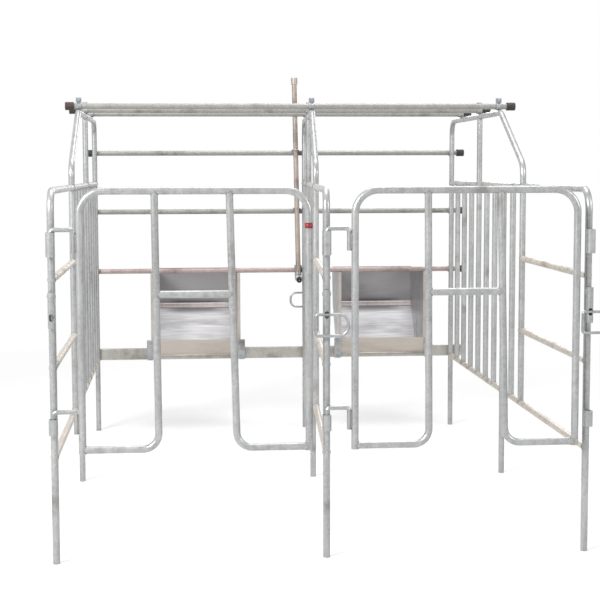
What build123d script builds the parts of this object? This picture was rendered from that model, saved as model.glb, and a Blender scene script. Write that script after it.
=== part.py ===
"""Double sow stall: two bays side by side, welded from galvanised steel tube.

Three side panels carry the top rails and the head rails. Each bay has a swing gate at
the rear and a feed trough at the head. Millimetres, +Z up, rear gates towards -Y, and
the origin on the floor at the middle of the footprint box.
"""
import os
from math import atan2, cos, degrees, hypot, pi, sin
from build123d import *

# Tube and rod stock
tube_od = 21.3
tube_wall = 2.0
tube_bend = 60.0
sleeve_od = 26.9
sleeve_wall = 3.0
hook_rod = 13.0
hook_bend = 11.0
ring_rod = 9.0

# Plan of the crate
bay_length = 2120.0
half_width = 780.0
centre_rear_x = 7.0
centre_head_x = 128.0

# Heights of the panel rails, at their centre lines
bottom_rail_z = 313.0
lower_rail_z = 572.0
upper_rail_z = 825.0
top_rail_z = 1078.0

# Head part of a panel, measured back from the head post
bar_pitch = 145.7
bay_bars = 9
mid_leg_bars = 7
brace_bars = 4
hood_rise = 268.0
hood_knee_rise = 73.0
hood_top_length = 957.0

# Sleeves on the rear face of the rear posts
upper_sleeve_length = 70.0
upper_sleeve_top = 962.0
lower_sleeve_length = 47.0
lower_sleeve_top = 428.0
latch_sleeve_length = 109.0
latch_sleeve_bottom = 688.0
latch_window_width = 13.0
latch_window_height = 24.0
ring_above_sleeve_end = 32.0
head_latch_drop = 124.0
seat_gap = 0.3

# Rings that hang in the latch sleeves
ring_height = 62.0
ring_length = 92.5
ring_corner = 6.2
ring_nose = 26.0
ring_hole_clearance = 0.4
centre_ring_back = 31.0
right_ring_back = 20.0
head_ring_back = 31.0

# Rear gates
hook_reach = 82.0
gate_free_gap = 46.0
gate_corner = 68.0
gate_end_z = 326.0
gate_foot_z = 337.0
gate_bar_bend = 45.0
hinge_bar_top = 212.0
hinge_bar_foot = 218.0
free_bar_top = 227.0
free_bar_foot = 209.0
gate_cross_z = 783.0
lower_hook_z = 448.0
upper_hook_tail = 64.0
lower_hook_tail = 64.0

# Top rails over the hoods: how far back from the head post, and past the outer panels
top_rail_back = (915.0, 570.0, 195.0)
top_rail_past_left = (44.0, 56.0, 45.0)
top_rail_past_right = (57.0, 38.0, 38.0)

# Rails and beam across the head end
front_rail_heights = (1210.0, 956.0, 697.0)
front_rail_past_left = 38.0
front_rail_past_right = 52.0
beam_height = 48.0
beam_depth = 25.0
beam_wall = 2.5
beam_z = 333.0
beam_past_left = 32.0
beam_past_right = 49.0

# Strap clamps and end caps
strap_width = 20.0
strap_thickness = 3.0
strap_ear = 17.0
strap_ear_gap = 4.0
strap_bolt = 8.0
cap_length = 32.0
cap_wall = 4.0
cap_end = 5.0
cap_fit = 0.2
cope_gap = 0.003

# Feed troughs: middles measured in from the outer panels, then the folded sheet seen from the side
left_trough_in = 429.0
right_trough_in = 305.0
trough_width = 370.0
trough_sheet = 2.0
trough_depth = 372.0
trough_lip_z = 392.0
trough_lip_drop = 64.0
trough_sill_run = 6.0
trough_sill_rise = 8.0
trough_bowl_front = 80.0
trough_bowl_back = 185.0
trough_bowl_z = 302.0
trough_knee_z = 510.0
trough_back_lean = 30.0
trough_bends = (12.0, 40.0, 110.0, 30.0)
trough_lip_share = 0.4
trough_overcut = 50.0
trough_flange = 10.0
bracket_width = 30.0
bracket_height = 88.0
bracket_thickness = 4.0
bracket_bolt = 8.0
bracket_bolt_edge = 9.6
bracket_corner = 5.0

# Drinker
drinker_top = (84.0, 1534.0)
drinker_foot = (100.0, 692.0)
drinker_elbow_z = 684.0
drinker_elbow_socket = 20.0
drinker_elbow_reach = 40.0
drinker_wall = 2.3
coupling_od = 28.0
coupling_length = 28.0
elbow_bend = 24.0
elbow_tilt = 60.0
nipple_od = 24.0
nipple_length = 26.0
nipple_bore = 15.0
nipple_pin = 7.0
clip_rod = 5.0
clip_tail = 14.0

tube_r = tube_od / 2
gate_width = half_width - hook_reach - gate_free_gap
mouth_y = bay_length + tube_r + seat_gap
trough_top_z = front_rail_heights[-1] - tube_r - seat_gap
trough_centres = (left_trough_in - half_width, half_width - right_trough_in)
sleeve_r = sleeve_od / 2
hinge_y = -(tube_r + sleeve_r)
skew = degrees(atan2(centre_head_x - centre_rear_x, bay_length))
strap_r = tube_r + cap_fit + strap_thickness
front_rail_y = bay_length + tube_r + strap_r + seat_gap
beam_y = mouth_y + beam_depth / 2
hood_z = top_rail_z + hood_rise
hood_knee_z = top_rail_z + hood_knee_rise
top_rail_seat_z = hood_z + tube_r + strap_r + seat_gap
drinker_y = front_rail_y - tube_r - coupling_od / 2 - seat_gap


def rod(start, end, radius):
    """A round bar between two points."""
    axis = Vector(*end) - Vector(*start)
    return extrude(Plane(origin=start, z_dir=axis) * Circle(radius), axis.length)


def tube(start, end, radius, wall):
    """A straight tube, open at both ends."""
    axis = Vector(*end) - Vector(*start)
    ring = Circle(radius) - Circle(radius - wall)
    return extrude(Plane(origin=start, z_dir=axis) * ring, axis.length)


def bent_rod(points, bends, radius):
    """A round bar along straight runs joined by bends."""
    path = FilletPolyline(*points, radius=bends)
    start = Plane(origin=path @ 0, z_dir=path % 0)
    return sweep(start * Circle(radius), path=path)


def bent_tube(points, bends, radius, wall):
    """A bent tube, open at both ends."""
    return bent_rod(points, bends, radius) - bent_rod(points, bends, radius - wall)


def coped(piece, *others):
    """Cut the ends of a tube to the shape of the tubes that it is welded to."""
    for other in others:
        piece = piece - other
    return max(piece.solids(), key=lambda solid: solid.volume)


def panel_pieces(length):
    """One side panel in its own plane, with the rear post at the origin."""
    head = (0, length, 0)
    knee_y = length - bay_bars * bar_pitch
    corner_y = length - hood_top_length
    leg_y = length - mid_leg_bars * bar_pitch

    frame_run = [(0, 0, 0), (0, 0, top_rail_z), (0, length, top_rail_z)]
    hood_run = [head, (0, length, hood_z), (0, corner_y, hood_z), (0, knee_y, hood_knee_z),
                (0, knee_y, top_rail_z)]
    frame_bar = bent_rod(frame_run, [tube_bend], tube_r)
    hood_bar_stock = bent_rod(hood_run, [tube_bend] * 3, tube_r)
    leg_bar = rod((0, leg_y, 0), (0, leg_y, top_rail_z), tube_r)
    bottom_bar = rod((0, 0, bottom_rail_z), (0, length, bottom_rail_z), tube_r)

    head_post = rod(head, (0, length, hood_knee_z), tube_r + cope_gap)
    rail_stock = rod((0, tube_bend, top_rail_z), (0, length - tube_od, top_rail_z), tube_r)

    frame = coped(bent_tube(frame_run, [tube_bend], tube_r, tube_wall), head_post)
    hood = coped(bent_tube(hood_run, [tube_bend] * 3, tube_r, tube_wall), rail_stock)
    brace_y = length - brace_bars * bar_pitch
    brace = rod((0, brace_y, top_rail_z), (0, brace_y, hood_z), tube_r)
    hood = hood + coped(brace, frame_bar, hood_bar_stock)

    leg = coped(tube((0, leg_y, 0), (0, leg_y, top_rail_z), tube_r, tube_wall), frame_bar)
    bottom = [coped(rod((0, 0, bottom_rail_z), (0, leg_y, bottom_rail_z), tube_r), frame_bar, leg_bar),
              coped(rod((0, leg_y, bottom_rail_z), (0, length, bottom_rail_z), tube_r),
                    leg_bar, hood_bar_stock)]

    bars = []
    for number in range(1, bay_bars + 1):
        if number != mid_leg_bars:
            bar_y = length - number * bar_pitch
            bar = rod((0, bar_y, bottom_rail_z), (0, bar_y, top_rail_z), tube_r)
            bars.append(coped(bar, frame_bar, bottom_bar))

    post = rod((0, knee_y, bottom_rail_z), (0, knee_y, top_rail_z), tube_r)
    rails = [coped(rod((0, 0, z), (0, knee_y, z), tube_r), frame_bar, post)
             for z in (lower_rail_z, upper_rail_z)]

    return {"rear_frame": frame, "hood": hood, "mid_leg": leg, "bottom_rail": Compound(bottom),
            "bars": Compound(bars), "side_rails": Compound(rails)}


def hinge_sleeves():
    """The two short sleeves that take the pins of a gate's hooks."""
    spans = ((upper_sleeve_top, upper_sleeve_length), (lower_sleeve_top, lower_sleeve_length))
    return [tube((0, hinge_y, top - length), (0, hinge_y, top), sleeve_r, sleeve_wall)
            for top, length in spans]


def latch_sleeve():
    """The longer sleeve that a latch ring hangs in, with its cross hole and front window."""
    bottom = latch_sleeve_bottom
    ring_z = bottom + ring_above_sleeve_end
    sleeve = tube((0, hinge_y, bottom), (0, hinge_y, bottom + latch_sleeve_length), sleeve_r, sleeve_wall)
    hole_r = ring_rod / 2 + ring_hole_clearance
    hole = rod((-sleeve_od, hinge_y, ring_z), (sleeve_od, hinge_y, ring_z), hole_r)
    window = Box(latch_window_width, sleeve_r, latch_window_height)
    window = Pos(0, hinge_y - sleeve_r / 2, ring_z) * window
    return sleeve - hole - window


def latch_ring(back):
    """A closed ring of rod with one square end and one round end, hanging from its top run."""
    left = -back
    right = ring_length - back
    low = -ring_height
    outline = [(left, 0, 0), (right, 0, 0), (right, 0, low), (left, 0, low)]
    bends = [ring_corner, ring_nose, ring_nose, ring_corner]
    path = FilletPolyline(*outline, radius=bends, close=True)
    start = Plane(origin=path @ 0, z_dir=path % 0)
    return sweep(start * Circle(ring_rod / 2), path=path)


def gate_pieces():
    """One rear gate in its closed place, with its hinge axis at x = 0."""
    left = hook_reach
    right = hook_reach + gate_width
    y = hinge_y
    frame_run = [(left, y, gate_end_z), (left, y, top_rail_z), (right, y, top_rail_z), (right, y, gate_end_z)]
    frame_bar = bent_rod(frame_run, [gate_corner] * 2, tube_r)
    frame = bent_tube(frame_run, [gate_corner] * 2, tube_r, tube_wall)

    uprights = []
    spans = ((left + hinge_bar_top, left + hinge_bar_foot, left),
             (right - free_bar_top, right - free_bar_foot, right))
    for top, foot, side in spans:
        run = [(top, y, top_rail_z), (foot, y, gate_foot_z), (side, y, gate_foot_z)]
        uprights.append(coped(bent_rod(run, [gate_bar_bend], tube_r), frame_bar))
    drop = (top_rail_z - gate_cross_z) / (top_rail_z - gate_foot_z)
    ends = [top + (foot - top) * drop for top, foot, side in spans]
    cross = rod((ends[0], y, gate_cross_z), (ends[1], y, gate_cross_z), tube_r)
    bars = uprights[0] + uprights[1] + coped(cross, *uprights)

    hooks = []
    reach = hook_reach - tube_r - hook_rod / 2
    upper_hook_z = upper_sleeve_top + hook_rod / 2 + seat_gap
    for z, tail in ((upper_hook_z, upper_hook_tail), (lower_hook_z, lower_hook_tail)):
        run = [(0, y, z - tail), (0, y, z), (reach, y, z), (reach, y, z - tail)]
        hooks.append(bent_rod(run, [hook_bend] * 2, hook_rod / 2))
    return {"frame": frame, "bars": bars, "hooks": Compound(hooks)}


def strap_clamp():
    """A strap bent round a rail along X, with two ears over it for one bolt, ears towards +Z."""
    inner = tube_r + cap_fit
    outer = inner + strap_thickness
    half_gap = strap_ear_gap / 2
    ear = half_gap + strap_thickness
    top = outer + strap_ear
    shape = Circle(outer) + Pos(0, top / 2) * Rectangle(2 * ear, top)
    shape = shape - Circle(inner) - Pos(0, top / 2) * Rectangle(2 * half_gap, top)
    clamp = Pos(-strap_width / 2, 0, 0) * extrude(Plane.YZ * shape, strap_width)
    bolt_z = outer + strap_ear / 2
    return clamp - rod((0, -ear * 2, bolt_z), (0, ear * 2, bolt_z), strap_bolt / 2)


def end_cap():
    """A rubber cap for a rail end at the origin, the rail coming from -X."""
    bore = tube_r + cap_fit
    body = rod((cap_end - cap_length, 0, 0), (cap_end, 0, 0), bore + cap_wall)
    body = fillet(body.edges().group_by(Axis.X)[-1], cap_wall / 2)
    return body - rod((-cap_length, 0, 0), (0, 0, 0), bore)


def panel_x(panel, y):
    """Where a panel's plane crosses a line along X at the depth y."""
    if panel == "centre":
        return centre_rear_x + (centre_head_x - centre_rear_x) * y / bay_length
    return -half_width if panel == "left" else half_width


def trough_section(inset, over):
    """The side view of a trough as a face: y from the mouth, z up; the hollow is inset and runs over."""
    sill = (beam_depth + trough_sill_run, beam_z + beam_height / 2 + trough_sill_rise + inset)
    points = [(-over, trough_lip_z + inset * trough_lip_share), sill,
              (trough_bowl_front, trough_bowl_z + inset), (trough_bowl_back, trough_bowl_z + inset),
              (trough_depth - trough_back_lean - inset, trough_knee_z),
              (trough_depth - inset, trough_top_z + over)]
    lip_bend, front_bend, back_bend, knee_bend = trough_bends
    outline = FilletPolyline(*points, radius=[lip_bend, front_bend - inset, back_bend - inset, knee_bend])
    close = Polyline(points[-1], (points[0][0], trough_top_z + over), points[0])
    return make_face(Wire([*outline.edges(), *close.edges()]))


def trough(centre):
    """A feed trough: folded sheet with side plates, front lip and mouth flanges."""
    left = centre - trough_width / 2
    plate = Plane(origin=(left, mouth_y, 0), x_dir=(0, 1, 0), z_dir=(1, 0, 0))
    inside = Plane(origin=(left + trough_sheet, mouth_y, 0), x_dir=(0, 1, 0), z_dir=(1, 0, 0))
    body = extrude(plate * trough_section(0, 0), trough_width)
    body = body - extrude(inside * trough_section(trough_sheet, trough_overcut), trough_width - 2 * trough_sheet)
    lip_width = trough_width + 2 * bracket_width
    lip_height = trough_lip_drop + trough_sheet
    lip = Pos(centre, mouth_y - trough_sheet / 2, trough_lip_z + trough_sheet - lip_height / 2)
    body = body + lip * Box(lip_width, trough_sheet, lip_height)
    height = trough_top_z - trough_lip_z
    for side in (-1, 1):
        flange = Pos(centre + side * (trough_width + trough_flange) / 2, mouth_y + trough_sheet / 2,
                     trough_lip_z + height / 2)
        body = body + flange * Box(trough_flange + trough_sheet, trough_sheet, height)
    return body


def trough_brackets():
    """The plates that bolt the lip of each trough to the head beam."""
    plates = []
    y = mouth_y - trough_sheet - bracket_thickness / 2
    middle_z = trough_lip_z + trough_sheet - bracket_height / 2
    for centre in trough_centres:
        for side in (-1, 1):
            x = centre + side * (trough_width + bracket_width) / 2
            plate = Box(bracket_width, bracket_thickness, bracket_height)
            for end in (-1, 1):
                z = end * (bracket_height / 2 - bracket_bolt_edge)
                plate = plate - Pos(0, 0, z) * Rot(90, 0, 0) * Cylinder(bracket_bolt / 2, bracket_thickness * 2)
            plate = fillet(plate.edges().filter_by(Axis.Y).sort_by(Axis.Z)[:2], bracket_corner)
            plates.append(Pos(x, y, middle_z) * plate)
    return Compound(plates)


def drinker():
    """The water pipe beside the centre head post, with its elbow and drinking nipple."""
    y = drinker_y
    top = (drinker_top[0], y, drinker_top[1])
    foot = (drinker_foot[0], y, drinker_foot[1])
    pipe = tube(foot, top, tube_r, drinker_wall)
    collar_end = Vector(*top) + (Vector(*foot) - Vector(*top)).normalized() * coupling_length
    collar = rod(tuple(collar_end), top, coupling_od / 2)
    pipe = pipe + (collar - rod(foot, top, tube_r))

    turn = elbow_tilt * pi / 180
    reach = (-sin(turn), -cos(turn))
    corner = (foot[0], y, drinker_elbow_z)
    tip = (foot[0], y + reach[0] * drinker_elbow_reach, corner[2] + reach[1] * drinker_elbow_reach)
    socket = (foot[0], y, drinker_elbow_z + drinker_elbow_socket)
    elbow = bent_rod([socket, corner, tip], [elbow_bend], coupling_od / 2)
    elbow = elbow - rod(foot, top, tube_r)
    nose = (tip[0], tip[1] + reach[0] * nipple_length, tip[2] + reach[1] * nipple_length)
    nipple = tube(tip, nose, nipple_od / 2, (nipple_od - nipple_bore) / 2)
    pin = rod(tip, nose, nipple_pin / 2)
    return pipe, elbow + nipple + pin


def drinker_clips():
    """Rod clips that go round the pipe and hook over each head rail."""
    y = drinker_y
    clips = []
    for z in front_rail_heights[:2]:
        share = (z - drinker_foot[1]) / (drinker_top[1] - drinker_foot[1])
        x = drinker_foot[0] + (drinker_top[0] - drinker_foot[0]) * share
        half = tube_r + clip_rod / 2 + seat_gap
        level = z + tube_r + clip_rod / 2 + seat_gap
        back = front_rail_y + half
        run = [(x - half, back, level - clip_tail), (x - half, back, level), (x - half, y - half, level),
               (x + half, y - half, level), (x + half, back, level), (x + half, back, level - clip_tail)]
        clips.append(bent_rod(run, [5, half * 0.95, half * 0.95, 5], clip_rod / 2))
    return Compound(clips)


def build():
    """Every node of the crate, in plan coordinates with the left and right rear posts on y = 0."""
    nodes = {}
    places = {"left": Location((-half_width, 0, 0)), "right": Location((half_width, 0, 0)),
              "centre": Location((centre_rear_x, 0, 0), (0, 0, -skew))}
    centre_length = hypot(bay_length, centre_head_x - centre_rear_x)
    for panel, place in places.items():
        length = centre_length if panel == "centre" else bay_length
        for name, piece in panel_pieces(length).items():
            nodes[f"{panel}_{name}"] = place * piece
        sleeves = [*hinge_sleeves(), latch_sleeve()]
        if panel == "centre":
            sleeves.append(Pos(0, centre_length, -head_latch_drop) * Rot(0, 0, 180) * latch_sleeve())
        nodes[f"{panel}_sleeves"] = place * Compound(sleeves)

    pivot = (places["centre"] * Pos(0, hinge_y, 0)).position
    hinges = {"left": Pos(-half_width, 0, 0), "right": Pos(pivot.X, pivot.Y - hinge_y, 0)}
    for side, place in hinges.items():
        for name, piece in gate_pieces().items():
            nodes[f"gate_{side}_{name}"] = place * piece

    ring_z = latch_sleeve_bottom + ring_above_sleeve_end
    rings = {"centre": places["centre"] * Pos(0, hinge_y, ring_z) * latch_ring(centre_ring_back),
             "right": places["right"] * Pos(0, hinge_y, ring_z) * latch_ring(right_ring_back),
             "head": places["centre"] * Pos(0, centre_length - hinge_y, ring_z - head_latch_drop)
             * Rot(0, 0, 180) * latch_ring(head_ring_back)}
    for name, piece in rings.items():
        nodes[f"latch_ring_{name}"] = piece

    rails = {}
    names = ("rear", "middle", "head")
    for name, back, left, right in zip(names, top_rail_back, top_rail_past_left, top_rail_past_right):
        y = bay_length - back
        rails[f"top_rail_{name}"] = (-half_width - left, half_width + right, y, y, top_rail_seat_z, Rot())
    front_ends = (-half_width - front_rail_past_left, half_width + front_rail_past_right)
    for name, z in zip(("top", "middle", "low"), front_rail_heights):
        rails[f"front_rail_{name}"] = (*front_ends, front_rail_y, bay_length, z, Rot(-90, 0, 0))
    caps = []
    clamps = []
    for name, (left, right, y, panel_y, z, turn) in rails.items():
        nodes[name] = rod((left, y, z), (right, y, z), tube_r)
        caps += [Pos(right, y, z) * end_cap(), Pos(left, y, z) * Rot(0, 0, 180) * end_cap()]
        clamps += [Pos(panel_x(panel, panel_y), y, z) * turn * strap_clamp() for panel in places]
    nodes["end_caps"] = Compound(caps)
    nodes["rail_clamps"] = Compound(clamps)

    beam_length = 2 * half_width + beam_past_left + beam_past_right
    outer = Box(beam_length, beam_depth, beam_height)
    outer = fillet(outer.edges().filter_by(Axis.X), beam_wall)
    beam = outer - Box(beam_length * 2, beam_depth - 2 * beam_wall, beam_height - 2 * beam_wall)
    nodes["front_beam"] = Pos((beam_past_right - beam_past_left) / 2, beam_y, beam_z) * beam

    nodes["trough_left"] = trough(trough_centres[0])
    nodes["trough_right"] = trough(trough_centres[1])
    nodes["trough_brackets"] = trough_brackets()
    nodes["drinker_pipe"], nodes["drinker_nipple"] = drinker()
    nodes["drinker_clips"] = drinker_clips()
    return nodes


nodes = build()
box = Compound(list(nodes.values())).bounding_box()
origin = Pos(-(box.min.X + box.max.X) / 2, -(box.min.Y + box.max.Y) / 2, 0)
os.makedirs("parts", exist_ok=True)
for name, piece in nodes.items():
    export_step(origin * piece, f"parts/{name}.step")
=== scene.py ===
# %% [markdown]
# # A double sow gestation crate in galvanised tube
#
# The crate is an open frame: three side panels of half inch tube, rails over the hoods, a
# beam and two feed troughs at the head, and two swing gates at the rear. The tubes, sheets
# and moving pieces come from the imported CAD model. This lesson gives them their zinc, rubber
# and water-stained finishes, and adds what a welder and a fitter leave behind: weld beads,
# bolts, nuts, washers and a wrap of tape. It ends with the floor, the lamps and the camera.

# %% Load the frame
import math
import random

import bmesh
import bpy
from mathutils import Matrix, Vector


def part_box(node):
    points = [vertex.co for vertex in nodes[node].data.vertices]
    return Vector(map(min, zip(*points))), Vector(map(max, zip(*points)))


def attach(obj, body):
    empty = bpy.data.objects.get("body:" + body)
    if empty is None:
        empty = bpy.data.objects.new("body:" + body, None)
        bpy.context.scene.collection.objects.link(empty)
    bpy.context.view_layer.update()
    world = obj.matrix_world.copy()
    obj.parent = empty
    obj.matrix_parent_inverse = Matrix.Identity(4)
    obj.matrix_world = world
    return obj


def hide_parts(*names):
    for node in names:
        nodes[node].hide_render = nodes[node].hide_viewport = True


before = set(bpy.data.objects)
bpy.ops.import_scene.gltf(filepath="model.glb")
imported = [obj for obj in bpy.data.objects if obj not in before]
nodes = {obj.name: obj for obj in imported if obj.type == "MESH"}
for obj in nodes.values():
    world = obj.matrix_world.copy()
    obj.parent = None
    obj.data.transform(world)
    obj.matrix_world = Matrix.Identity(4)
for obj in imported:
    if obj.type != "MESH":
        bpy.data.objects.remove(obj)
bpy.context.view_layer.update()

# %% [markdown]
# The shop drawing counts in millimetres from the left and right rear posts. The frame counts
# in metres from the middle of the footprint. One function joins the two, and it finds the
# posts in the frame itself, so that the added pieces follow the CAD model.

# %% Shop coordinates
leg_low, leg_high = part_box("left_mid_leg")
post_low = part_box("left_rear_frame")[0]
TUBE_R = 10.65
HALF_WIDTH = 780.0
shop_x0 = (leg_low.x + leg_high.x) / 2 + HALF_WIDTH / 1000
shop_y0 = post_low.y + TUBE_R / 1000


def at(x, y, z):
    """A point of the shop drawing, in millimetres, as a point of the frame."""
    return Vector((x / 1000 + shop_x0, y / 1000 + shop_y0, z / 1000))


BAY = 2120.0
CENTRE_REAR, CENTRE_HEAD = 7.0, 128.0
skew = math.atan2(CENTRE_HEAD - CENTRE_REAR, BAY)
panels = {
    "left": (-HALF_WIDTH, Vector((0, 1, 0)), BAY),
    "centre": (CENTRE_REAR, Vector((math.sin(skew), math.cos(skew), 0)),
               math.hypot(BAY, CENTRE_HEAD - CENTRE_REAR)),
    "right": (HALF_WIDTH, Vector((0, 1, 0)), BAY),
}


def on_panel(panel, along, z, side=0.0):
    """A point in a panel's plane: along it from the rear post, and beside it to the right."""
    x, way, _ = panels[panel]
    across = Vector((way.y, -way.x, 0))
    return at(x + way.x * along + across.x * side, way.y * along + across.y * side, z)


print("shop origin in the frame:", round(shop_x0, 4), round(shop_y0, 4))

# %% [markdown]
# Colours are written as sRGB hex values, as a colour card gives them, and Blender's shaders
# want linear light. One function turns the first into the second. A second small function
# adds a shader node, sets its values and joins its inputs, so that each material below reads
# as a list of what is mixed into it. The same graph could be drawn by hand in the shader
# editor, but written out it can be repeated with other colours. The last two functions start
# a material and put an object in the scene.

# %% Colour, node and scene helpers
def paint(hex_colour, alpha=1.0):
    """An sRGB hex colour as linear red, green, blue and alpha."""
    parts = [int(hex_colour[i : i + 2], 16) / 255 for i in (1, 3, 5)]
    linear = [c / 12.92 if c <= 0.04045 else ((c + 0.055) / 1.055) ** 2.4 for c in parts]
    return (*linear, alpha)


def add(material, kind, settings=None, inputs=None, stops=()):
    """Add a node; an input is a value or another node's output, and stops are for a ramp."""
    made = material.node_tree.nodes.new(kind)
    for name, value in (settings or {}).items():
        setattr(made, name, value)
    for name, value in (inputs or {}).items():
        if isinstance(value, bpy.types.NodeSocket):
            material.node_tree.links.new(value, made.inputs[name])
        else:
            made.inputs[name].default_value = value
    if stops:
        elements = made.color_ramp.elements
        while len(elements) < len(stops):
            elements.new(0.5)
        for element, (share, _) in zip(elements, stops):
            element.position = share
        for element, (_, colour) in zip(elements, stops):
            element.color = colour
    return made


def blank(name):
    """A new material with nothing in it but its output."""
    material = bpy.data.materials.new(name)
    material.use_nodes = True
    material.node_tree.nodes.clear()
    return material


def placed(name, data):
    """An object made of a mesh, lamp or camera, put in the scene."""
    made = bpy.data.objects.new(name, data)
    bpy.context.scene.collection.objects.link(made)
    return made


print("mid grey in linear light:", [round(share, 3) for share in paint("#808080")])

# %% [markdown]
# Hot-dip galvanised steel is dipped whole in molten zinc. The zinc freezes in crystals a
# centimetre or so across, called spangle, each a little lighter or darker than the next. It
# runs down as it cools, which leaves long soft streaks, and in use it dulls to grey and beige
# where dirt and damp sit. It is a metal, so it has a metallic value, but its dull crust
# scatters light as paint does, so the value is well under 1. Its roughness starts from the
# 0.3 to 0.4 that is usual for the dip, and both are matched to the photograph.
#
# A picture of the metal could be wrapped round the tubes, but on tubes this thin its seams
# would show. Cells and noise that are worked out in space need no unwrapping and run on over
# every joint. The grit of the crust is finer than a millimetre, too fine to show, so it is
# drawn 2.6 mm wide. All the zinc finishes share one recipe with their own colours, because
# they are one process seen in different states.

# %% The zinc recipe
SPANGLE_MM = 8.0
STREAK_MM = 22.0
PATCH_MM = 120.0
GRIT_MM = 2.6


def zinc(name, bright, mid, stain, metallic, rough, stained=0.35, spangle=0.24, bump=0.09):
    """A galvanised finish from its bright crystals, its usual tone and its stains."""
    m = blank(name)
    where = add(m, "ShaderNodeTexCoord").outputs["Object"]
    crystals = add(m, "ShaderNodeTexVoronoi", {"feature": "F1"},
                   {"Vector": where, "Scale": 1000 / SPANGLE_MM, "Randomness": 1.0})
    tone = add(m, "ShaderNodeSeparateColor", None, {"Color": crystals.outputs["Color"]})
    tall = add(m, "ShaderNodeMapping", None, {"Vector": where, "Scale": (1, 1, 0.16)})
    streaks = add(m, "ShaderNodeTexNoise", None,
                  {"Vector": tall.outputs[0], "Scale": 1000 / STREAK_MM, "Detail": 4.0, "Roughness": 0.6})
    patches = add(m, "ShaderNodeTexNoise", None,
                  {"Vector": where, "Scale": 1000 / PATCH_MM, "Detail": 5.0, "Roughness": 0.62})
    grit = add(m, "ShaderNodeTexNoise", None,
               {"Vector": where, "Scale": 1000 / GRIT_MM, "Detail": 2.0, "Roughness": 0.5})
    half = spangle / 2
    crystal_share = add(m, "ShaderNodeMapRange", None,
                        {"Value": tone.outputs[0], "From Min": 0.0, "From Max": 1.0,
                         "To Min": 0.5 - half, "To Max": 0.5 + half})
    streak_share = add(m, "ShaderNodeMapRange", None,
                       {"Value": streaks.outputs[0], "From Min": 0.34, "From Max": 0.68,
                        "To Min": -0.2, "To Max": 0.2})
    share = add(m, "ShaderNodeMath", {"operation": "ADD", "use_clamp": True},
                {0: crystal_share.outputs[0], 1: streak_share.outputs[0]})
    clean = add(m, "ShaderNodeMix", {"data_type": "RGBA"},
                {0: share.outputs[0], 6: paint(mid), 7: paint(bright)})
    dirt = add(m, "ShaderNodeMapRange", {"interpolation_type": "SMOOTHSTEP"},
               {"Value": patches.outputs[0], "From Min": 0.70 - stained * 0.45,
                "From Max": 0.84 - stained * 0.3, "To Min": 0.0, "To Max": 0.8})
    colour = add(m, "ShaderNodeMix", {"data_type": "RGBA"},
                 {0: dirt.outputs[0], 6: clean.outputs[2], 7: paint(stain)})
    gloss = add(m, "ShaderNodeMapRange", None,
                {"Value": patches.outputs[0], "From Min": 0.3, "From Max": 0.7,
                 "To Min": rough - 0.07, "To Max": rough + 0.14})
    relief = add(m, "ShaderNodeMath", {"operation": "MULTIPLY_ADD"},
                 {0: crystals.outputs["Distance"], 1: 0.6, 2: grit.outputs[0]})
    skin = add(m, "ShaderNodeBump", None, {"Strength": bump, "Distance": 0.0006, "Height": relief.outputs[0]})
    surface = add(m, "ShaderNodeBsdfPrincipled", None,
                  {"Base Color": colour.outputs[2], "Metallic": metallic, "Roughness": gloss.outputs[0],
                   "Normal": skin.outputs[0]})
    add(m, "ShaderNodeOutputMaterial", None, {"Surface": surface.outputs[0]})
    return m


print("zinc patterns in mm:", SPANGLE_MM, STREAK_MM, PATCH_MM, GRIT_MM)

# %% [markdown]
# The crate shows the finish in several states. The posts, gates and hoods are the cleanest.
# The rails along the sides are pale beige, where the dip was thin and the dust stays. The
# rails over the hoods and across the head are darker and dusty. The lowest rail at the head
# has a pinkish cast, and the beam under it is darker. The sleeves, hooks, rings and clamps
# are small and thick, and the zinc on them is smooth and bright. One finish with masks painted
# by hand could show all of this, but a finish for each kind of piece is easier to change.

# %% The zinc finishes
tube_zinc = zinc("hot_dip_zinc_on_tube", "#B8B9B9", "#838484", "#6C6761", 0.52, 0.3, 0.3)
rail_zinc = zinc("dusty_zinc_on_cross_rails", "#9C9B97", "#82817D", "#6B6760", 0.4, 0.44, 0.4, 0.2, 0.0)
bar_zinc = zinc("hot_dip_zinc_on_panel_bars", "#B9BABA", "#8A8B8B", "#79736B", 0.52, 0.33, 0.36)
side_zinc = zinc("dulled_zinc_on_side_rails", "#C4BDB4", "#A39B92", "#857B70", 0.3, 0.43, 0.4)
pink_zinc = zinc("pink_cast_zinc_on_low_rail", "#B3A3A0", "#90807D", "#7A6A65", 0.38, 0.4, 0.4)
beam_zinc = zinc("dark_zinc_on_head_beam", "#AFADA7", "#93918B", "#77726A", 0.38, 0.42, 0.45, 0.4)
fitting_zinc = zinc("smooth_zinc_on_fittings", "#B6B7B8", "#878889", "#6F6A64", 0.62, 0.27, 0.3)
pipe_zinc = zinc("water_stained_zinc_pipe", "#B3A79F", "#968A81", "#776A61", 0.38, 0.42, 0.5)
rib_zinc = zinc("pale_zinc_on_trough_ribs", "#CFC6C4", "#B5ABA9", "#8E8583", 0.3, 0.4, 0.3, 0.3)
hem_zinc = zinc("worn_zinc_on_lip_hems", "#BDB7B0", "#A09890", "#857B70", 0.35, 0.42, 0.4, 0.3)
bolt_zinc = zinc("blue_zinc_plate_on_bolts", "#A9AFB6", "#7C838B", "#5F5C58", 0.8, 0.3, 0.3, 0.2, 0.12)
print("zinc finishes, from", tube_zinc.name, "to", bolt_zinc.name)
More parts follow.
